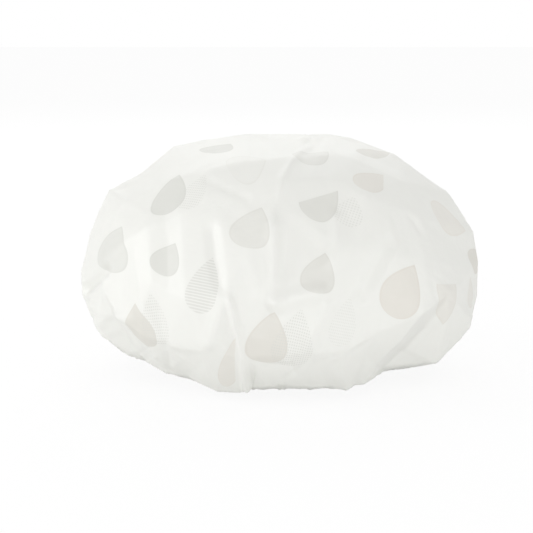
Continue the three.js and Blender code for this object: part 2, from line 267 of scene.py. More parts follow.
# The crumpled panels. The film bends sharply at fold junctions and is nearly flat between them.
# Outline corners and junctions of the front are pixels of the photograph. The third number is how many
# millimetres a corner lies nearer the camera, or how many a junction stands out. Ridges join junctions
# by number. The rest of the cap is scattered with junctions of its own, at least the spacing apart.
panels = dict(
    outlineCorners=[
        (478, 262, 0), (477, 297, 0.1), (470, 329, -0.2), (460, 341, -0.8), (437, 364, -1.3),
        (385, 371, 0), (364, 385, 0.4), (355, 386, 0.9), (346, 391, 2.1), (330, 388, 3),
        (311, 389, 1.2), (282, 388, 0.2), (255, 389, 0.7), (248, 393, 1), (233, 393, -0.6),
        (218, 392, -1.7), (187, 378, 0), (166, 374, 0.2), (145, 362, 0.1), (126, 355, 0.8),
        (102, 337, 0), (96, 329, 0.2), (82, 295, -0.2), (81, 271, -0.6), (86, 252, 0.6), (90, 234, 0),
        (98, 213, 0), (109, 190, -0.2), (140, 174, 0.2), (157, 160, 0), (174, 146, -0.1), (203, 140, 0),
        (246, 134, 0.1), (280, 134, 0.1), (329, 134, 0), (348, 137, 0.1), (393, 153, -0.1),
        (425, 176, 0), (448, 192, -0.2), (460, 210, 0), (473, 231, 0.6),
    ],
    junctions=[
        (222, 224, -0.2), (227, 291, 3.6), (210, 341, 0.4), (245, 360, -3.3), (250, 256, 2.1),
        (273, 226, 1.5), (273, 300, -2.2), (284, 252, -3.4), (291, 213, -0.5), (320, 295, 0.7),
        (308, 338, -1.8), (300, 316, -2), (327, 303, 0.6), (390, 250, 0.4), (365, 288, -0.2),
        (345, 248, 0.3), (130, 238, -0.3), (152, 284, -1.7), (120, 317, -1), (143, 306, 0.4),
        (104, 262, 1.3), (103, 291, 0), (164, 344, -2.2), (190, 300, 3.8), (180, 213, 0.5),
        (210, 170, 0), (245, 197, 0), (158, 183, -0.4), (205, 196, 0.2), (295, 155, -1.4),
        (281, 183, 1.8), (330, 176, 0.1), (367, 198, 2.2), (420, 216, -1.3), (408, 181, -1.5),
        (345, 154, -0.4), (421, 262, -0.3), (418, 312, 3.3), (382, 334, -3.7), (346, 352, -2.3),
        (448, 292, 1.2), (232, 322, 0.6), (263, 342, -2), (290, 358, -3.3), (196, 352, -1.5),
        (140, 336, -0.3), (245, 160, -0.6), (118, 206, -0.1),
    ],
    ridges=[
        (0, 1), (1, 2), (1, 41), (3, 41), (5, 6), (6, 9), (10, 12), (13, 14), (16, 17), (18, 19),
        (20, 21), (23, 44), (25, 26), (29, 30), (32, 33),
    ],
    besideFacing=0.12,
    lowest=0.97,
    spiralCount=170,
    spiralDown=0.93,
    spiralStep=0.001,
    spiralShuffle=0.317,
    spiralAway=0.1,
    spiralStandOut=(-2.8, 3.2),
    spacing=20.0,
    rimSpots=48,
    rimOut=(1.002, 1.04),
    frontStrength=1.25,
    flatness=0.95,
    fadeFrom=0.93,
    fadeTo=0.985,
    softenTimes=1,
    normalSoftenTimes=8,
    outlineFrom=0.6,
    outlineFacing=(-0.6, -0.05),
    outlineTurns=720,
    outlineSteps=40,
)

# Folds of the film: ridges and creases that run across the panels. Each goes through pixels of the
# photograph, with how far it stands out, and how wide its sides are on the left and on the right of its
# way along, in millimetres. More are scattered over the sides and back, and fine ones all over.
folds = dict(
    front=[
        ([(222, 224), (227, 245), (228, 284)], 0.5, 11, 7),
        ([(210, 230), (214, 256), (219, 287)], -1.1, 7, 6),
        ([(224, 301), (217, 320), (209, 345)], 1.6, 7, 8),
        ([(230, 300), (236, 325), (242, 352), (246, 391)], 3.0, 4, 4),
        ([(273, 226), (272, 262), (272, 302)], 1.9, 9, 5),
        ([(284, 200), (283, 232), (286, 268)], -0.9, 9, 9),
        ([(276, 303), (297, 299), (321, 293)], 2, 7, 7),
        ([(328, 304), (318, 322), (307, 346)], 1.2, 7, 5),
        ([(390, 246), (376, 268), (361, 298)], -1.6, 6, 8),
        ([(320, 137), (308, 147), (292, 162), (283, 178), (280, 196)], 1, 3, 3),
        ([(207, 181), (226, 189), (246, 198)], -0.9, 3.5, 4),
        ([(82, 291), (93, 284), (105, 273)], -2.8, 6, 5),
        ([(93, 306), (108, 313), (121, 317), (133, 322)], 0.9, 6, 5),
        ([(150, 224), (152, 255), (154, 286)], 1.2, 12, 16),
        ([(166, 344), (168, 358), (169, 371)], -0.7, 4, 3.5),
        ([(330, 150), (347, 172), (366, 198)], 0.4, 8, 8),
        ([(246, 256), (254, 272), (262, 292)], 0.4, 8, 8),
        ([(258, 362), (272, 366), (288, 367)], -0.5, 5, 5),
        ([(250, 334), (262, 322), (271, 310)], -0.6, 5, 4),
        ([(388, 222), (392, 234), (396, 246)], 0.4, 4, 4),
        ([(198, 172), (208, 166), (219, 162)], -0.4, 4, 4),
        ([(335, 218), (336, 240), (332, 262)], 1.7, 6, 6),
        ([(352, 222), (353, 240), (350, 262)], -0.4, 6, 6),
        ([(412, 218), (417, 224), (421, 232)], -0.6, 5, 5),
        ([(100, 190), (114, 190), (130, 184)], -0.5, 5, 5),
        ([(350, 354), (358, 349), (367, 343)], -0.5, 4, 4),
        ([(176, 352), (186, 356), (196, 354)], -0.4, 6, 6),
        ([(240, 200), (256, 204), (270, 200)], -0.4, 6, 6),
        ([(300, 225), (308, 240), (322, 256)], -0.4, 6, 6),
        ([(418, 240), (424, 262), (428, 290)], 0.4, 8, 8),
    ],
    hiddenCount=90,
    hiddenSeed=23,
    hiddenLength=(0.02, 0.07),
    hiddenStandOut=(-1.6, 2.0),
    hiddenWidth=(3.0, 11.0),
    fineCount=170,
    fineLength=(0.012, 0.04),
    fineStandOut=(-0.6, 0.6),
    fineWidth=(2.5, 5.0),
    lean=0.7,
    bend=0.004,
    frontStrength=1.8,
    frontFacing=0.05,
    lowest=0.92,
    depthCounts=100,
    softenTimes=1,
)


# The grid places nearest to pixels, among those that a mask allows. Of places at one pixel it can take
# the one in front: each metre of depth then counts as so many squared pixels.
def placesAtPixels(points, allowed, wanted, depthCounts=0):
    rows, columns = np.nonzero(allowed)
    shown = toPixels(points[rows, columns])
    depth = points[rows, columns] @ cameraAxes()[1] * depthCounts
    nearest = [int(np.argmin(((shown - np.array(spot)) ** 2).sum(1) + depth)) for spot in wanted]
    return rows[nearest], columns[nearest]


# The junctions of the sides and back: places of a spiral that turns by the golden angle, where the
# crown faces away from the camera. How far they stand out is scattered by the squares of their numbers.
def spiralJunctions():
    number = np.arange(panels["spiralCount"])
    down = panels["spiralDown"] * np.sqrt((number + 0.5) / panels["spiralCount"])
    angle = number * goldenAngle
    step = panels["spiralStep"]
    point = smoothCrown(angle, down)
    alongDown = smoothCrown(angle, down + step) - smoothCrown(angle, down - step)
    alongTurn = smoothCrown(angle + step, down) - smoothCrown(angle - step, down)
    normal = np.cross(alongDown, alongTurn)
    normal /= np.linalg.norm(normal, axis=1, keepdims=True)
    low, high = panels["spiralStandOut"]
    standOut = low + (high - low) * np.mod(number * number * panels["spiralShuffle"], 1)
    away = normal @ cameraAxes()[1] > panels["spiralAway"]
    spot = np.stack([down * np.cos(angle), down * np.sin(angle)], axis=-1)
    return list(zip(spot[away], point[away], normal[away], standOut[away]))


# Bends the smooth crown into flat panels: a net of triangles over the junctions, laid out on the disc,
# carries each junction's place in space, and points between follow by their shares of the corners.
def panelled(points, chart):
    normals = gridNormals(points)
    facing = facingCamera(points, normals)
    down = np.hypot(chart[..., 0], chart[..., 1])
    above = down < panels["lowest"]
    corners, junctions = np.array(panels["outlineCorners"]), np.array(panels["junctions"])
    beside = placesAtPixels(points, (np.abs(facing) < panels["besideFacing"]) & above, corners[:, :2])
    moved = points[beside] + acrossView(points[beside], corners[:, :2] - toPixels(points[beside]))
    moved -= cameraAxes()[1] * corners[:, 2:] / mmPerMetre
    ahead = placesAtPixels(points, (facing > panels["besideFacing"]) & above, junctions[:, :2])
    standOut = junctions[:, 2:] * panels["frontStrength"] / mmPerMetre
    spots = [*chart[beside], *chart[ahead]]
    targets = [*moved, *(points[ahead] + normals[ahead] * standOut)]
    for spot, point, normal, standOut in spiralJunctions():
        if np.linalg.norm(np.array(targets) - point, axis=1).min() > panels["spacing"] / mmPerMetre:
            spots.append(spot)
            targets.append(point + normal * standOut / mmPerMetre)
    rim = np.linspace(0, 2 * math.pi, panels["rimSpots"], endpoint=False)
    rimOut = np.resize(panels["rimOut"], panels["rimSpots"])
    spots.extend(np.stack([np.cos(rim), np.sin(rim)], axis=-1) * rimOut[:, None])
    targets.extend(smoothCrown(rim, np.ones(panels["rimSpots"])))
    ridges = (np.array(panels["ridges"]) + len(corners)).tolist()
    net = delaunay_2d_cdt([Vector(spot) for spot in spots], ridges, [], 0, tiny)
    corners = np.array([list(v) for v in net[0]])
    place = np.array([targets[origin[0]] for origin in net[3]])
    flat = points.copy()
    for face in net[2]:
        corner, spot = corners[list(face)], place[list(face)]
        low, high = corner.min(0) - tiny, corner.max(0) + tiny
        rows, columns = np.nonzero(((chart >= low) & (chart <= high)).all(-1))
        shares = (chart[rows, columns] - corner[0]) @ np.linalg.inv(corner[1:] - corner[0])
        within = (shares >= -tiny).all(-1) & (shares.sum(-1) <= 1 + tiny)
        flat[rows[within], columns[within]] = spot[0] + shares[within] @ (spot[1:] - spot[0])
    fade = 1 - smoothStep(panels["fadeFrom"], panels["fadeTo"], down)
    mixed = points + (flat - points) * (panels["flatness"] * fade)[..., None]
    return blurred(mixed, panels["softenTimes"])


# Moves points out along a folded line: a tent that falls to nothing at the width of each side.
def foldAlong(points, normals, line, standOut, leftWidth, rightWidth):
    reach = max(leftWidth, rightWidth)
    near = np.nonzero(((points > line.min(0) - reach) & (points < line.max(0) + reach)).all(-1))
    spot, out = points[near], normals[near]
    best, width = np.full(len(spot), np.inf), np.ones(len(spot))
    for start, end in zip(line[:-1], line[1:]):
        run = end - start
        share = np.clip(((spot - start) @ run) / (run @ run), 0, 1)
        away = spot - start - share[:, None] * run
        distance = np.linalg.norm(away, axis=1)
        onLeft = (np.cross(out, run) * away).sum(1) > 0
        closer = distance < best
        best = np.where(closer, distance, best)
        width = np.where(closer, np.where(onLeft, leftWidth, rightWidth), width)
    moved = points.copy()
    moved[near] += out * (standOut * np.clip(1 - best / width, 0, 1))[:, None]
    return moved


# Brings the outline seen by the camera to the photograph's: round the middle of the view, how far the
# wanted corners' line is over how far the film reaches gives a stretch, which fades away from the edge
# and before the hem.
def outlined(points, down):
    facing = facingCamera(points, gridNormals(blurred(points, panels["normalSoftenTimes"])))
    corners = np.array(panels["outlineCorners"])[:, :2]
    away = toPixels(points) - corners.mean(0)
    corners = corners - corners.mean(0)
    turn, reach = np.arctan2(away[..., 1], away[..., 0]), np.linalg.norm(away, axis=-1)
    count = panels["outlineTurns"]
    own = np.zeros(count)
    np.maximum.at(own, ((turn + math.pi) / (2 * math.pi) * count).astype(int).ravel() % count, reach.ravel())
    own = np.maximum(np.maximum(own, np.roll(own, 1)), np.roll(own, -1))
    turns = (np.arange(count) + 0.5) / count * 2 * math.pi - math.pi
    steps = np.linspace(0, 1, panels["outlineSteps"], endpoint=False)[:, None, None]
    line = (corners + steps * (np.roll(corners, -1, axis=0) - corners)).reshape(-1, 2)
    lineTurn = np.arctan2(line[:, 1], line[:, 0])
    order = np.argsort(lineTurn)
    wanted = np.interp(turns, lineTurn[order], np.linalg.norm(line, axis=1)[order], period=2 * math.pi)
    ownAt = np.interp(turn, turns, own, period=2 * math.pi)
    stretch = np.interp(turn, turns, wanted / own, period=2 * math.pi) - 1
    near = smoothStep(panels["outlineFrom"], 1, reach / ownAt) * smoothStep(*panels["outlineFacing"], facing)
    near *= 1 - smoothStep(panels["fadeFrom"], 1, down)
    return points + acrossView(points, away * (stretch * near)[..., None])


# All folds: those of the front at their pixels, and scattered ones that lean towards the hem.
def folded(points, down):
    normals = gridNormals(blurred(points, panels["normalSoftenTimes"]))
    facing = facingCamera(points, normals)
    for spots, standOut, leftWidth, rightWidth in folds["front"]:
        rows, columns = placesAtPixels(points, facing > folds["frontFacing"], spots, folds["depthCounts"])
        sizes = np.array([standOut * folds["frontStrength"], leftWidth, rightWidth]) / mmPerMetre
        points = foldAlong(points, normals, points[rows, columns], *sizes)
    random = np.random.default_rng(folds["hiddenSeed"])
    above = down < folds["lowest"]
    points = scatteredFolds(points, normals, np.argwhere((facing < 0) & above), "hidden", random)
    points = scatteredFolds(points, normals, np.argwhere(above), "fine", random)
    return blurred(points, folds["softenTimes"])


# Scattered folds of one kind over the allowed places, each a bent line that leans towards the hem.
def scatteredFolds(points, normals, places, kind, random):
    for row, column in places[random.choice(len(places), folds[kind + "Count"], replace=False)]:
        start, normal = points[row, column], normals[row, column]
        downhill = np.cross(np.cross(normal, [0, 0, -1]), normal)
        aside = np.cross(normal, downhill)
        lean = random.normal(0, folds["lean"])
        run = downhill * math.cos(lean) + aside * math.sin(lean)
        run *= random.uniform(*folds[kind + "Length"]) / max(np.linalg.norm(run), tiny)
        bend = aside * random.normal(0, folds["bend"])
        line = np.array([start - run / 2, start + bend, start + run / 2])
        line = np.array([nearestPoint(points, spot) for spot in line])
        standOut = random.uniform(*folds[kind + "StandOut"]) / mmPerMetre
        leftWidth, rightWidth = random.uniform(*folds[kind + "Width"], 2) / mmPerMetre
        points = foldAlong(points, normals, line, standOut, leftWidth, rightWidth)
    return points


def nearestPoint(points, spot):
    distance = ((points - spot) ** 2).sum(-1)
    return points[np.unravel_index(np.argmin(distance), distance.shape)]


# The angle at which a gather lies, or a place part of the way to the next. The even turn and a few
# sines of it space them unevenly.
def gatherAngle(place):
    turn = 2 * math.pi * place / crown["gatherCount"]
    twice, varies, fourTimes = crown["gatherUneven"]
    uneven = twice * np.sin(2 * turn) * (1 + varies * np.cos(turn + 1))
    return turn + uneven + fourTimes * np.sin(4 * turn)


# 1 in front, where the film falls smoothly to the floor, and 0 at the sides and back: a smooth step on
# the sine of the angle.
def inFront(angle):
    return smoothStep(crown["frontFrom"], crown["frontFull"], -np.sin(angle))


# A value of the sides and back that turns into that of the front.
def towardsFront(around, front, angle):
    return around + (front - around) * inFront(angle)


# How far the film puffs up off the ground beside the hem, at the sides and back: it grows with one
# smooth step and falls with another.
def hemPuff(angle, down):
    grown = smoothStep(crown["puffStart"], crown["puffHighest"], down)
    grown *= 1 - smoothStep(crown["puffFades"], 1, down)
    return crown["hemPuff"] * grown * (1 - inFront(angle))


# How far the gathers draw the film in: 1 less the size of a cosine gives round lobes with sharp valleys,
# and the golden share of each one's number gives its own depth and height.
def gatherDraw(angle, down):
    table = np.linspace(-1, crown["gatherCount"] + 1, crown["gatherTable"])
    place = np.interp(np.mod(angle, 2 * math.pi), gatherAngle(table), table)
    own = np.mod(np.floor(place) * goldenShare, 1)
    start = crown["gatherStart"] + crown["gatherStartVaries"] * np.mod(own * crown["gatherShuffle"], 1)
    start = towardsFront(start, crown["frontStart"], angle)
    deepest = towardsFront(crown["gatherDeepest"], crown["frontDeepest"], angle)
    grown = smoothStep(start, deepest, down) * (1 - smoothStep(deepest, 1, down))
    least = crown["gatherLeastShare"]
    valley = 1 - np.abs(np.cos(math.pi * place))
    return crown["gatherDepth"] * (least + (1 - least) * own) * valley * grown


# The fine pleats at the elastic: a sine whose turn drifts by slower sines, each with its size, its count
# and its own turn, and whose size varies from pleat to pleat.
def pleatWave(angle):
    drift = sum(size * np.sin(count * angle + turn) for size, count, turn in crown["pleatDrift"])
    wave = np.sin(crown["pleatCount"] * angle + crown["pleatDriftTurn"] * drift)
    slow, turn, middling, quick = crown["pleatSizeTurns"]
    varies = np.sin(slow * angle + turn) * np.sin(middling * angle) + np.sin(quick * angle)
    return wave * (crown["pleatSize"] + crown["pleatSizeVaries"] * varies)


# How far the fine pleats draw the film in or out: they deepen down the crown, and lose most of it at the
# hem and in front.
def pleatDraw(angle, down):
    start = towardsFront(crown["pleatStart"], crown["frontStart"], angle)
    deepest = towardsFront(crown["pleatDeepest"], crown["frontDeepest"], angle)
    lost = (1 - crown["pleatShareAtHem"]) * smoothStep(crown["pleatFades"], 1, down)
    kept = (1 - crown["frontPleatLoss"] * inFront(angle)) * (1 - lost)
    return crown["pleatDepth"] * kept * smoothStep(start, deepest, down) * -pleatWave(angle) / 2


# The hem: the section of the film from the crown round the elastic and back over it, as metres outside
# the opening and above the ground, and how much of the pleats each place has. Its first places are under
# the elastic and its last ones over it. The two lengths are those of the flat film that it takes.
hem = dict(
    section=[
        (0.0080, 0.0005, 1.0), (0.0069, 0.0011, 0.7), (0.0058, 0.0014, 0.5), (0.0046, 0.0014, 0.5),
        (0.0034, 0.0014, 0.5), (0.0022, 0.0011, 0.6), (0.0012, 0.0006, 0.6), (0.0005, 0.0009, 0.3),
        (0.0002, 0.0018, 0.2), (0.0004, 0.0029, 0.3), (0.0010, 0.0035, 0.6), (0.0022, 0.0034, 0.5),
        (0.0034, 0.0032, 0.4), (0.0046, 0.0032, 0.4), (0.0058, 0.0032, 0.5), (0.0069, 0.0035, 1.0),
        (0.0080, 0.0042, 2.0), (0.0090, 0.0052, 3.4),
    ],
    underPlaces=8,
    overPlaces=9,
    overFrom=0.0025,
    crownLength=0.294,
    turnedLength=0.019,
    pleatLift=0.00045,
    pleatOut=0.0003,
    lapAt=math.pi / 2,
    lapHalfAngle=0.22,
    lapRampAngle=0.15,
    lapRise=0.0018,
)


# How much higher the hem's upper side is over the lapped ends of the elastic: a step down at each end.
def lapAt(angle):
    away = np.abs(np.arctan2(np.sin(angle - hem["lapAt"]), np.cos(angle - hem["lapAt"])))
    rampEnd = hem["lapHalfAngle"] + hem["lapRampAngle"]
    return hem["lapRise"] * (1 - smoothStep(hem["lapHalfAngle"], rampEnd, away))


# Points round the opening, at angles, from how far outside it and how high they are.
def aroundOpening(angle, out, height):
    x = (crown["openingHalfWidth"] + out) * np.cos(angle)
    y = (crown["openingHalfDepth"] + out) * np.sin(angle)
    return np.stack([x, y, height], axis=-1)


# Points of the hem at angles: rows go along its section.
def hemRows(angle):
    out, up, share = np.array(hem["section"]).T[..., None]
    wave = pleatWave(angle) * share
    height = up + wave * hem["pleatLift"] + lapAt(angle) * (up > hem["overFrom"])
    return aroundOpening(angle, out + wave * hem["pleatOut"], height)


# The rim of the grid in order, as row and column numbers, starting at one corner.
def rimOrder(side):
    run = np.arange(side)
    rows = np.concatenate([run, np.full(side, side), side - run, np.zeros(side, int)])
    columns = np.concatenate([np.zeros(side, int), run, np.full(side, side), side - run])
    return rows, columns


# Faces of four corners between neighbours of a grid of numbers.
def gridFaces(number):
    corners = (number[:-1, :-1], number[1:, :-1], number[1:, 1:], number[:-1, 1:])
    return np.stack(corners, axis=-1).reshape(-1, 4)


# A mesh object from points and faces of four corners.
def meshPiece(name, points, faces):
    mesh = bpy.data.meshes.new(name)
    mesh.from_pydata(points.tolist(), [], faces.tolist())
    mesh.update()
    mesh.shade_smooth()
    piece = bpy.data.objects.new(name, mesh)
    bpy.context.collection.objects.link(piece)
    return piece


# The film: the crown's grid with its panels, folds, gathers and pleats, and a strip of faces that goes on
# from its rim along the hem's section.
def makeFilm():
    side = crown["gridSide"]
    angle, down = discGrid(side)
    chart = np.stack([down * np.cos(angle), down * np.sin(angle)], axis=-1)
    points = folded(panelled(smoothCrown(angle, down), chart), down)
    normals = gridNormals(blurred(points, crown["softenTimes"]))
    draw = gatherDraw(angle, down) + pleatDraw(angle, down)
    points = points - normals * draw[..., None]
    points[..., 2] += hemPuff(angle, down)
    points = outlined(points, down)
    points[..., 2] = np.maximum(points[..., 2], crown["hemLow"])
    number = np.arange(down.size).reshape(down.shape)
    rim = rimOrder(side)
    turnedIn = hemRows(angle[rim])
    added = down.size + np.arange(turnedIn[..., 0].size).reshape(len(turnedIn), -1)
    rings = np.concatenate([number[rim][None], added])
    faces = np.concatenate([gridFaces(number), gridFaces(np.concatenate([rings, rings[:, :1]], axis=1))])
    vertices = np.concatenate([points.reshape(-1, 3), turnedIn.reshape(-1, 3)])
    piece = meshPiece("film", vertices, faces)
    normals = gridNormals(blurred(points, drops["softenTimes"]))
    addDrops(piece.data, vertices[faces], points, normals, chart)
    return piece


# Shader maths as expressions: a wrapped socket adds a Math node for each operator used on it.
class Value:
    def __init__(self, tree, socket):
        self.tree, self.socket = tree, socket

    def math(self, operation, *others):
        node = self.tree.nodes.new("ShaderNodeMath")
        node.operation = operation
        for place, value in enumerate((self, *others)):
            if isinstance(value, Value):
                self.tree.links.new(value.socket, node.inputs[place])
            else:
                node.inputs[place].default_value = value
        return Value(self.tree, node.outputs[0])

    def __add__(self, other):
        return self.math("ADD", other)

    def __radd__(self, other):
        return self.math("ADD", other)

    def __sub__(self, other):
        return self.math("SUBTRACT", other)

    def __rsub__(self, other):
        return self.math("MULTIPLY", -1.0) + other

    def __mul__(self, other):
        return self.math("MULTIPLY", other)

    def __rmul__(self, other):
        return self.math("MULTIPLY", other)

    def __truediv__(self, other):
        return self.math("DIVIDE", other)

    # A sine brought to between 0 and 1.
    def wave(self):
        return self.math("SINE") * 0.5 + 0.5

    # 0 below the edge and 1 above it, with a straight ramp as wide as the softness between.
    def above(self, edge, softness):
        ramp = (self - edge) / softness + 0.5
        return ramp.math("MAXIMUM", 0.0).math("MINIMUM", 1.0)


# A material's tree, and one way to add any node: its type, its settings, and its sockets' values.
class Finish:
    def __init__(self, name, holder=None):
        self.material = holder or bpy.data.materials.new(name)
        self.material.use_nodes = True
        self.tree = self.material.node_tree
        self.shader = self.tree.nodes.get("Principled BSDF")
        self.output = self.tree.nodes.get("Material Output")

    def node(self, kind, settings=None, sockets=None):
        made = self.tree.nodes.new("ShaderNode" + kind)
        for name, value in (settings or {}).items():
            setattr(made, name, value)
        for name, value in (sockets or {}).items():
            self.put(made.inputs[name], value)
        return made

    def put(self, socket, value):
        if isinstance(value, Value):
            self.tree.links.new(value.socket, socket)
        elif isinstance(value, bpy.types.NodeSocket):
            self.tree.links.new(value, socket)
        else:
            socket.default_value = value

    def value(self, socket):
        return Value(self.tree, socket)

    def objectPlace(self):
        return self.node("TexCoord").outputs["Object"]

    def parts(self, vector):
        split = self.node("SeparateXYZ", sockets={"Vector": vector})
        return [self.value(split.outputs[axis]) for axis in "XYZ"]

    def noise(self, scale, detail=2.0, roughness=0.5):
        sockets = {"Vector": self.objectPlace(), "Scale": scale, "Detail": detail, "Roughness": roughness}
        return self.value(self.node("TexNoise", sockets=sockets).outputs["Fac"])

    def mixColor(self, share, low, high):
        made = self.node("Mix", {"data_type": "RGBA", "clamp_factor": True})
        colors = [socket for socket in made.inputs if socket.type == "RGBA"]
        self.put(made.inputs[0], share)
        for socket, color in zip(colors, (low, high)):
            self.put(socket, (*color, 1) if isinstance(color, tuple) else color)
        return [socket for socket in made.outputs if socket.type == "RGBA"][0]

    def attribute(self, name):
        return self.parts(self.node("Attribute", {"attribute_name": name}).outputs["Vector"])

    # A roughness that noise varies, from its least value, how much more it can be and the noise's scale.
    def rough(self, least, more, scale):
        return self.noise(scale) * more + least

    # The three inputs that vary over a surface: its colour, its roughness and a bump.
    def surface(self, color, roughness, height, distance):
        bump = self.node("Bump", sockets={"Height": height, "Distance": distance, "Strength": 1.0})
        inputs = self.shader.inputs
        self.put(inputs["Base Color"], color)
        self.put(inputs["Roughness"], roughness)
        self.put(inputs["Normal"], bump.outputs["Normal"])

    # Makes the material show a mix of its shader and another one.
    def mixWith(self, share, other):
        mixed = self.node("MixShader", sockets={0: share, 1: self.shader.outputs[0], 2: other.outputs[0]})
        self.put(self.output.inputs["Surface"], mixed.outputs[0])


# The print: drops on the film. Solid ones are coloured all over, and dotted ones are grids of dots or of
# lines. A front drop goes from the pixel of its tip to the pixel of its round end. Its other values are
# its width in millimetres, how strong its colour is, how warm it is, from 0 for grey to 1 for beige, or
# for a dotted one 1 for lines, and, where a fold hides part of it, two pixels of the fold: the drop shows
# on the left of the way between them. More are scattered over the sides and back.
drops = dict(
    solid=[
        ((230, 144), (208, 153), 28, 0.95, 0.0),
        ((180, 175), (162, 215), 27, 0.85, 0.0),
        ((262, 207), (243, 248), 27, 0.55, 0.2),
        ((122, 226), (108, 271), 40, 0.7, 0.0),
        ((176, 242), (160, 274), 24, 0.9, 0.0),
        ((328, 152), (298, 160), 24, 0.55, 0.1),
        ((337, 187), (306, 216), 25, 0.75, 0.1, (334, 191), (298, 204)),
        ((388, 177), (358, 187), 20, 0.65, 0.7, (383, 195), (383, 170)),
        ((392, 150), (360, 153), 15, 1.0, 0.3),
        ((466, 231), (433, 210), 27, 0.42, 0.9),
        ((325, 251), (313, 291), 22, 0.7, 0.2),
        ((414, 264), (389, 314), 30, 0.8, 0.7),
        ((443, 325), (441, 270), 26, 0.52, 0.6, (454, 285), (430, 283)),
        ((479, 249), (473, 268), 18, 1.0, 0.4),
        ((471, 277), (471, 308), 14, 0.5, 0.6),
        ((136, 304), (149, 347), 27, 1.0, 0.4),
        ((274, 311), (262, 362), 27, 0.85, 0.5),
        ((237, 336), (225, 386), 13, 0.5, 0.8, (236, 390), (236, 336)),
        ((266, 160), (230, 172), 40, 0.12, 0.3),
    ],
    dotted=[
        ((206, 174), (183, 208), 20, 0.8, 0.0),
        ((213, 256), (198, 313), 22, 1.0, 1.0),
        ((151, 293), (160, 345), 20, 1.0, 0.0),
        ((301, 309), (288, 366), 26, 1.0, 0.0),
        ((354, 198), (345, 224), 20, 0.7, 0.0),
        ((350, 296), (338, 346), 18, 0.55, 0.0),
    ],
    shownFacing=0.02,
    shownEvery=7,
    hiddenFacing=-0.3,
    hiddenLowest=0.88,
    hiddenFrontmost=-0.35,
    hiddenCount=26,
    hiddenSeed=5,
    hiddenTries=6000,
    hiddenSpacing=0.046,
    fromShown=0.02,
    hiddenUp=(0, 0.2, 1),
    hiddenLength=(0.024, 0.03),
    hiddenTilt=(0.35, 0.45),
    hiddenStrength=(0.75, 1),
    hiddenWarmth=(0.1, 0.9),
    widthShare=0.82,
    dottedWidthShare=0.75,
    dottedShare=0.4,
    dottedAside=0.017,
    dotPitch=0.0019,
    reach=0.02,
    outOfReach=10,
    softenTimes=4,
)


# The local axes of one drop: its middle, the ways across it and to its tip, each half its size long, and
# its outward normal.
def dropFrame(tip, end, width, normal):
    middle = (tip + end) / 2
    axis = (tip - end) / 2
    across = np.cross(axis, normal)
    across *= (width / 2) / np.linalg.norm(across)
    return middle, across, axis, normal


# A scattered drop of a length, round a spot and along a way.
def scatteredDrop(spot, way, length, widthShare, normal):
    return dropFrame(spot + way * length / 2, spot - way * length / 2, length * widthShare, normal)


# All drops: those of the front at their pixels, and scattered ones that hang down the sides and back, at
# least the spacing apart. Some have a dotted drop beside them.
def addDrops(mesh, corners, points, normals, chart):
    facing = facingCamera(points, normals)
    ahead = facing > drops["shownFacing"]
    kinds = {"solid": [], "dotted": []}
    for kind in kinds:
        for tip, end, width, strength, warmth, *fold in drops[kind]:
            wanted = [tip, end, ((tip[0] + end[0]) / 2, (tip[1] + end[1]) / 2), *fold]
            rows, columns = placesAtPixels(points, ahead, wanted, folds["depthCounts"])
            spots = points[rows, columns]
            shape = dropFrame(spots[0], spots[1], width / mmPerMetre, normals[rows[2], columns[2]])
            kinds[kind].append((*shape, strength, warmth, *spots[3:]))
    random = np.random.default_rng(drops["hiddenSeed"])
    upper = np.hypot(chart[..., 0], chart[..., 1]) < drops["hiddenLowest"]
    behind = chart[..., 1] > drops["hiddenFrontmost"]
    hidden = np.argwhere((facing < drops["hiddenFacing"]) & upper & behind)
    taken = [shape[0] for shape in kinds["solid"] + kinds["dotted"]]
    shown = points[ahead][:: drops["shownEvery"]]
    count = 0
    for row, column in hidden[random.permutation(len(hidden))[: drops["hiddenTries"]]]:
        spot, normal = points[row, column], normals[row, column]
        if count == drops["hiddenCount"]:
            break
        if np.linalg.norm(np.array(taken) - spot, axis=1).min() < drops["hiddenSpacing"]:
            continue
        if np.linalg.norm(shown - spot, axis=1).min() < drops["fromShown"]:
            continue
        uphill = np.cross(np.cross(normal, drops["hiddenUp"]), normal)
        uphill /= np.linalg.norm(uphill)
        aside = np.cross(uphill, normal)
        tilt = random.normal(*drops["hiddenTilt"])
        length = random.uniform(*drops["hiddenLength"])
        way = uphill * math.cos(tilt) + aside * math.sin(tilt)
        strength, warmth = random.uniform(*drops["hiddenStrength"]), random.uniform(*drops["hiddenWarmth"])
        shape = scatteredDrop(spot, way, length, drops["widthShare"], normal)
        kinds["solid"].append((*shape, strength, warmth))
        taken.append(spot)
        if random.random() < drops["dottedShare"]:
            beside = spot + np.cross(way, normal) * drops["dottedAside"]
            shape = scatteredDrop(beside, way, length, drops["dottedWidthShare"], normal)
            kinds["dotted"].append((*shape, strength, 0))
        count += 1
    for kind, shapes in kinds.items():
        writeDrops(mesh, corners, kind, shapes)
    print("print:", len(kinds["solid"]), "solid and", len(kinds["dotted"]), "dotted drops")


# Places in a drop's axes, across it and to its tip, as shares of its half sizes.
def dropShares(offset, across, axis):
    return offset @ across / (across @ across), offset @ axis / (axis @ axis)


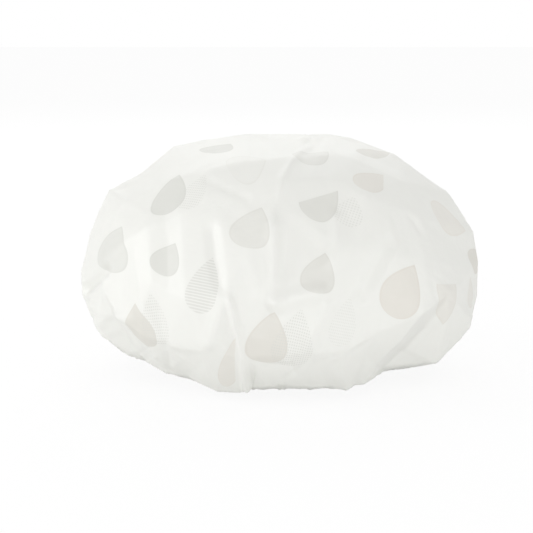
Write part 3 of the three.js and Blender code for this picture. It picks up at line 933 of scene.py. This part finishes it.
# Each face takes its nearest drop, and its corners the place in that drop's axes, so that a drop's edge
# is a formula in the material. The third number is the distance from the fold that hides the drop.
def writeDrops(mesh, corners, kind, shapes):
    centres = corners.mean(1)
    best, nearest = np.full(len(corners), np.inf), np.zeros(len(corners), int)
    for number, (middle, across, axis, normal, *_) in enumerate(shapes):
        offset = centres - middle
        distance = np.hypot(*dropShares(offset, across, axis))
        distance += (np.abs(offset @ normal) > drops["reach"]) * drops["outOfReach"]
        closer = distance < best
        best, nearest = np.where(closer, distance, best), np.where(closer, number, nearest)
    place, tone = np.zeros_like(corners), np.zeros_like(corners)
    for number, (middle, across, axis, normal, strength, warmth, *fold) in enumerate(shapes):
        mine = nearest == number
        x, y = dropShares(corners[mine] - middle, across, axis)
        y += (best[mine] > drops["outOfReach"] / 2)[:, None] * drops["outOfReach"]
        place[mine] = np.stack([x, y, np.ones_like(x)], axis=-1)
        if fold:
            run = fold[1] - fold[0]
            leftward = np.cross(normal, run)
            leftward /= np.linalg.norm(leftward) * np.linalg.norm(axis)
            place[mine, :, 2] = (corners[mine] - fold[0]) @ leftward
        tone[mine] = (strength, warmth, np.linalg.norm(axis) / drops["dotPitch"])
    for name, numbers in ((kind + "Place", place), (kind + "Tone", tone)):
        attribute = mesh.attributes.new(name, "FLOAT_VECTOR", "CORNER")
        attribute.data.foreach_set("vector", numbers.reshape(-1))


# The film's finish: milky, a little glossy, softly creased, and printed in grey and beige.
milky = dict(
    color=(0.87, 0.872, 0.845),
    throughColor=(0.9, 0.9, 0.86),
    throughShare=0.25,
    greyInk=(0.70, 0.703, 0.67),
    beigeInk=(0.785, 0.735, 0.672),
    roughness=(0.33, 0.18, 90.0),
    wrinkle=0.0007,
    creases=((45.0, 3.0, 0.6), (160.0,)),
    fineCreases=0.35,
    refraction=1.45,
    patches=60.0,
    patchLeast=0.85,
    patchVaries=0.25,
    edgeSoftness=0.05,
    foldSoftness=0.03,
    rimWidth=0.09,
    rimSoftness=0.08,
    rimInk=0.22,
    dottedInk=0.75,
    dotColumns=0.8,
    dotRadius=0.3,
    dotSoftness=0.12,
)


# How far inside a drop a place is: half its width there less the distance from its axis. The half width
# is (1 - y) sqrt((1 + y) / 2) over its greatest value, pointed at the tip and round at the other end.
def dropInside(x, y):
    widest = 0.77
    below = (y + 1.0).math("MINIMUM", 0.0)
    rounding = ((y + 1.0) * 0.5).math("MAXIMUM", 0.0).math("SQRT")
    halfWidth = (1.0 - y) * rounding / widest + below
    return halfWidth - x.math("ABSOLUTE")


# The film's material: solid drops that are darker at their rims, rows and columns of dots in dotted ones,
# and a shader that lets light through mixed in.
def filmFinish():
    finish = Finish("milkyFilm")
    x, y, fold = finish.attribute("solidPlace")
    strength, warmth, _ = finish.attribute("solidTone")
    inside = dropInside(x, y)
    patchy = finish.noise(milky["patches"]) * milky["patchVaries"] + milky["patchLeast"]
    rim = 1.0 - inside.above(milky["rimWidth"], milky["rimSoftness"])
    body = inside.above(0.0, milky["edgeSoftness"]) * fold.above(0.0, milky["foldSoftness"])
    ink = body * strength * patchy + body * rim * milky["rimInk"]
    color = finish.mixColor(warmth, milky["greyInk"], milky["beigeInk"])
    printed = finish.mixColor(ink, milky["color"], color)
    x, y, _ = finish.attribute("dottedPlace")
    strength, lines, pitch = finish.attribute("dottedTone")
    inside = dropInside(x, y).above(0.0, milky["foldSoftness"])
    column = (x * pitch * milky["dotColumns"]).math("FRACT") - 0.5
    row = (y * pitch).math("FRACT") - 0.5
    away = (column * column * (1.0 - lines) + row * row).math("SQRT")
    dot = 1.0 - away.above(milky["dotRadius"], milky["dotSoftness"])
    printed = finish.mixColor(dot * inside * strength * milky["dottedInk"], printed, milky["greyInk"])
    broad, fine = (finish.noise(*grain) for grain in milky["creases"])
    crease = broad + milky["fineCreases"] * fine
    finish.surface(printed, finish.rough(*milky["roughness"]), crease, milky["wrinkle"])
    finish.shader.inputs["IOR"].default_value = milky["refraction"]
    through = finish.node("BsdfTranslucent", sockets={"Color": (*milky["throughColor"], 1)})
    finish.mixWith(milky["throughShare"], through)
    return finish.material


# The zigzag seam: a thread on each side of the hem, which dips into the film at every turn.
seam = dict(
    zigzags=92,
    stepsPerRun=5,
    middle=0.0046,
    halfWidth=0.0018,
    threadRadius=0.00017,
    sides=6,
    dip=0.00035,
    dipFrom=0.75,
)


# A closed tube round a loop of points: each ring lies across the way from the point before to the next.
def tubeLoop(name, path, radius, sides):
    way = np.roll(path, -1, axis=0) - np.roll(path, 1, axis=0)
    way /= np.linalg.norm(way, axis=1, keepdims=True)
    aside = np.cross(way, [0.0, 0.0, 1.0])
    aside /= np.linalg.norm(aside, axis=1, keepdims=True)
    above = np.cross(aside, way)
    turn = np.arange(sides) * 2 * math.pi / sides
    rings = path[:, None] + radius * (
        aside[:, None] * np.cos(turn)[None, :, None] + above[:, None] * np.sin(turn)[None, :, None]
    )
    number = np.pad(np.arange(len(path) * sides).reshape(-1, sides), (0, 1), mode="wrap")
    return meshPiece(name, rings.reshape(-1, 3), gridFaces(number.T))


# The film's height at places of the hem, on its under side or on its upper side.
def hemHeight(angle, out, upper):
    section = hem["section"][-hem["overPlaces"] :] if upper else hem["section"][: hem["underPlaces"]]
    reach, up, share = np.array(section).T
    order = np.argsort(reach)
    level = np.interp(out, reach[order], up[order])
    lift = np.interp(out, reach[order], share[order]) * pleatWave(angle) * hem["pleatLift"]
    return level + lift + (lapAt(angle) if upper else 0)


# One thread of the seam: it zigzags across the elastic on its way round, and dips where it turns.
def makeSeamThread(name, upper):
    runs = seam["zigzags"] * 2 * seam["stepsPerRun"]
    angle = np.arange(runs) * 2 * math.pi / runs
    phase = np.mod(np.arange(runs) / seam["stepsPerRun"] / 2, 1)
    zigzag = np.abs(phase * 4 - 2) - 1
    out = seam["middle"] + zigzag * seam["halfWidth"]
    dip = seam["dip"] * smoothStep(seam["dipFrom"], 1, np.abs(zigzag))
    side = 1 if upper else -1
    height = hemHeight(angle, out, upper) + side * (seam["threadRadius"] - dip)
    return tubeLoop(name, aroundOpening(angle, out, height), seam["threadRadius"], seam["sides"])


# A pattern's finish: it goes from a dark tone to a light one and stands out by its relief.
def twoToned(finish, pattern, look):
    color = finish.mixColor(pattern, look["dark"], look["light"])
    finish.surface(color, finish.rough(*look["roughness"]), pattern, look["relief"])
    return finish.material


# Sewing thread: strands as a sine of the place, from 0 to 1.
sewing = dict(
    dark=(0.82, 0.82, 0.80),
    light=(0.93, 0.93, 0.91),
    twistAlong=2600.0,
    twistUp=3500.0,
    relief=0.0001,
    roughness=(0.55, 0.15, 900.0),
)


def threadFinish():
    finish = Finish("sewingThread")
    x, y, z = finish.parts(finish.objectPlace())
    strands = ((x + y) * sewing["twistAlong"] + z * sewing["twistUp"]).wave()
    return twoToned(finish, strands, sewing)


# Flat covered elastic: ribs that run along the band, crossed by fine picks. Ribs are a sine of the
# distance from the middle of the opening, and picks a sine of the angle.
elastic = dict(
    dark=(0.74, 0.74, 0.72),
    light=(0.9, 0.9, 0.88),
    depthCounts=1.07,
    ribPitch=0.0011,
    ribShare=0.7,
    picks=420.0,
    relief=0.00025,
    roughness=(0.8, 0.1, 500.0),
)


def elasticFinish():
    finish = Finish("flatElastic")
    x, y, _ = finish.parts(finish.objectPlace())
    radius = (x * x + y * y * elastic["depthCounts"]).math("SQRT")
    ribs = (radius * 2 * math.pi / elastic["ribPitch"]).wave()
    picks = (y.math("ARCTAN2", x) * elastic["picks"]).wave()
    weave = ribs * elastic["ribShare"] + picks * (1 - elastic["ribShare"])
    return twoToned(finish, weave, elastic)


def dressNode(name, material):
    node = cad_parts[name]
    node.data.materials.clear()
    node.data.materials.append(material)


film = makeFilm()
film.data.materials.append(filmFinish())
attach(film, "root")
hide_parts("film_cap")
print("film:", len(film.data.polygons), "faces")

thread = threadFinish()
underThread = makeSeamThread("hem_seam_under", False)
overThread = makeSeamThread("hem_seam_over", True)
for piece, node in ((underThread, "hem_needle_thread"), (overThread, "hem_bobbin_thread")):
    piece.data.materials.append(thread)
    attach(piece, "root")
    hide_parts(node)
dressNode("elastic_tack_thread", thread)
dressNode("elastic_band", elasticFinish())
print("hem sewn")

# Soft studio light: a pale world, four lamps, each with its place, size and power, and a pale floor. Rays
# straight from the camera see the floor and the world as white.
studio = dict(
    worldStrength=0.78,
    lamps=dict(
        key=((-1.7, -0.1, 0.65), 0.8, 8.3),
        fill=((1.5, -0.9, 0.1), 1.0, 6.5),
        low=((-0.3, -1.55, 0.03), 0.8, 10.0),
        back=((0.0, 1.4, 1.1), 1.4, 8.0),
    ),
    lampTarget=(0.0, 0.0, 0.08),
    floorSize=8.0,
    floorColor=(0.95, 0.95, 0.95),
    floorRoughness=0.9,
    floorGlow=0.9,
)


# 1 for rays straight from the camera, a mirror or glass.
def seenDirectly(finish):
    path = finish.node("LightPath")
    camera = finish.value(path.outputs["Is Camera Ray"])
    glossy = finish.value(path.outputs["Is Glossy Ray"])
    return camera.math("MAXIMUM", glossy).math("MAXIMUM", finish.value(path.outputs["Is Transmission Ray"]))


def addStudio():
    scene = bpy.context.scene
    scene.view_settings.view_transform = "Standard"
    world = bpy.data.worlds.new("studio")
    scene.world = world
    sky = Finish("studio", world)
    background = sky.tree.nodes["Background"]
    background.inputs["Color"].default_value = (1, 1, 1, 1)
    strength = seenDirectly(sky) * (1 - studio["worldStrength"]) + studio["worldStrength"]
    sky.put(background.inputs["Strength"], strength)
    for name, (place, size, power) in studio["lamps"].items():
        data = bpy.data.lights.new(name, "AREA")
        data.size, data.energy = size, power
        addLooking(data, place, Vector(studio["lampTarget"]) - Vector(place))
    half = studio["floorSize"] / 2
    corners = np.array([(-half, -half, 0), (half, -half, 0), (half, half, 0), (-half, half, 0)])
    floor = meshPiece("floor", corners, np.array([[0, 1, 2, 3]]))
    pale = Finish("paleFloor")
    pale.shader.inputs["Base Color"].default_value = (*studio["floorColor"], 1)
    pale.shader.inputs["Roughness"].default_value = studio["floorRoughness"]
    glow = pale.node("Emission", sockets={"Color": (1, 1, 1, 1), "Strength": 1.0})
    pale.mixWith(seenDirectly(pale) * studio["floorGlow"], glow)
    floor.data.materials.append(pale.material)


addCamera()
addStudio()
print("camera and studio placed")

# Brings every object's place up to date.
bpy.context.view_layer.update()
